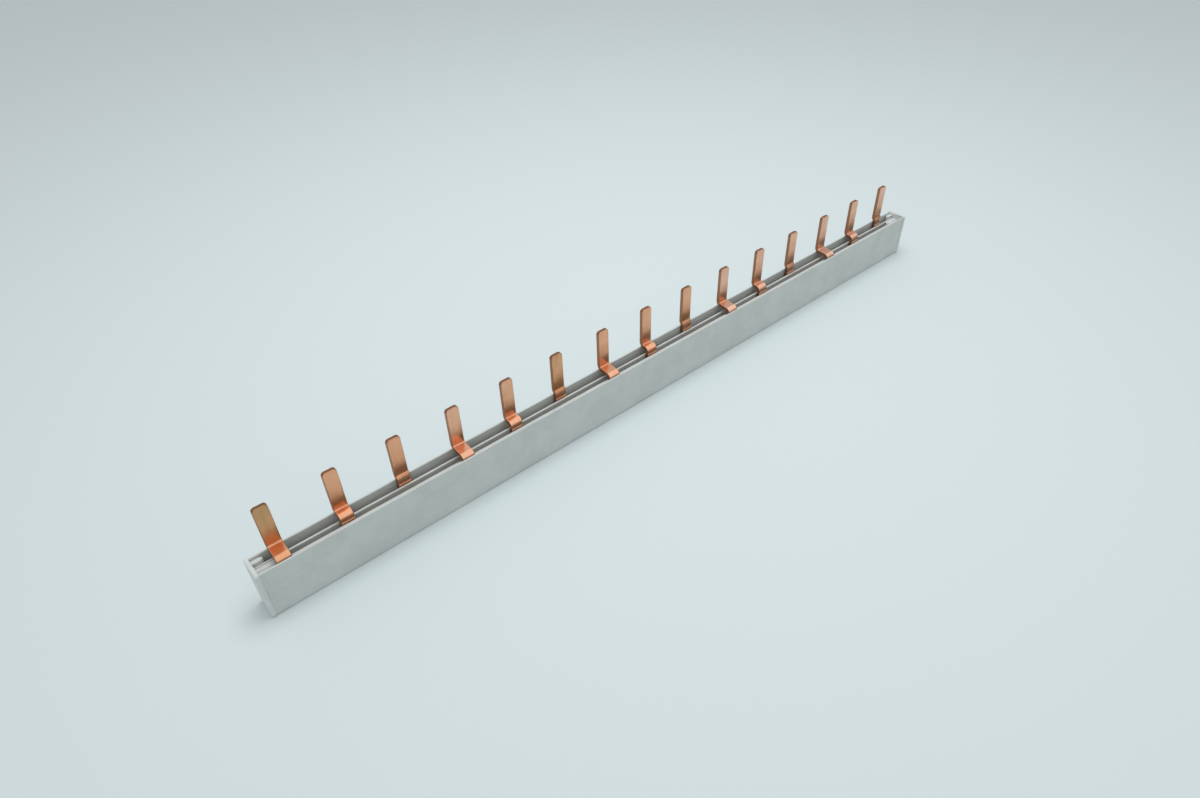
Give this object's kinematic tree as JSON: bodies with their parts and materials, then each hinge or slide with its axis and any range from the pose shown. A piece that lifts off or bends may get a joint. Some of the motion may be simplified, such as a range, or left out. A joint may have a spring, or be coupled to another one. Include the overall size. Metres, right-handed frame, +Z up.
{
  "type": "comb busbar",
  "caption": "Three-phase comb busbar: flat copper pins stepped up from three bars in a grooved grey housing with end caps.",
  "frame": {"origin": "centre of the footprint, on the surface that the housing stands on", "axes": "+X along the bar, +Z up along the pins, -Y is the front that the steps bend back from"},
  "size_m": [0.268, 0.0076, 0.03],
  "materials": {
    "housing_plastic": "satin light grey extruded plastic",
    "cap_plastic": "satin pale grey moulded plastic",
    "copper": "bare brushed copper"
  },
  "bodies": {
    "root": {"housing": "housing_plastic", "phase_comb_front": "copper", "phase_comb_middle": "copper", "phase_comb_back": "copper", "end_cap_left": "cap_plastic", "end_cap_right": "cap_plastic"}
  },
  "joints": []
}
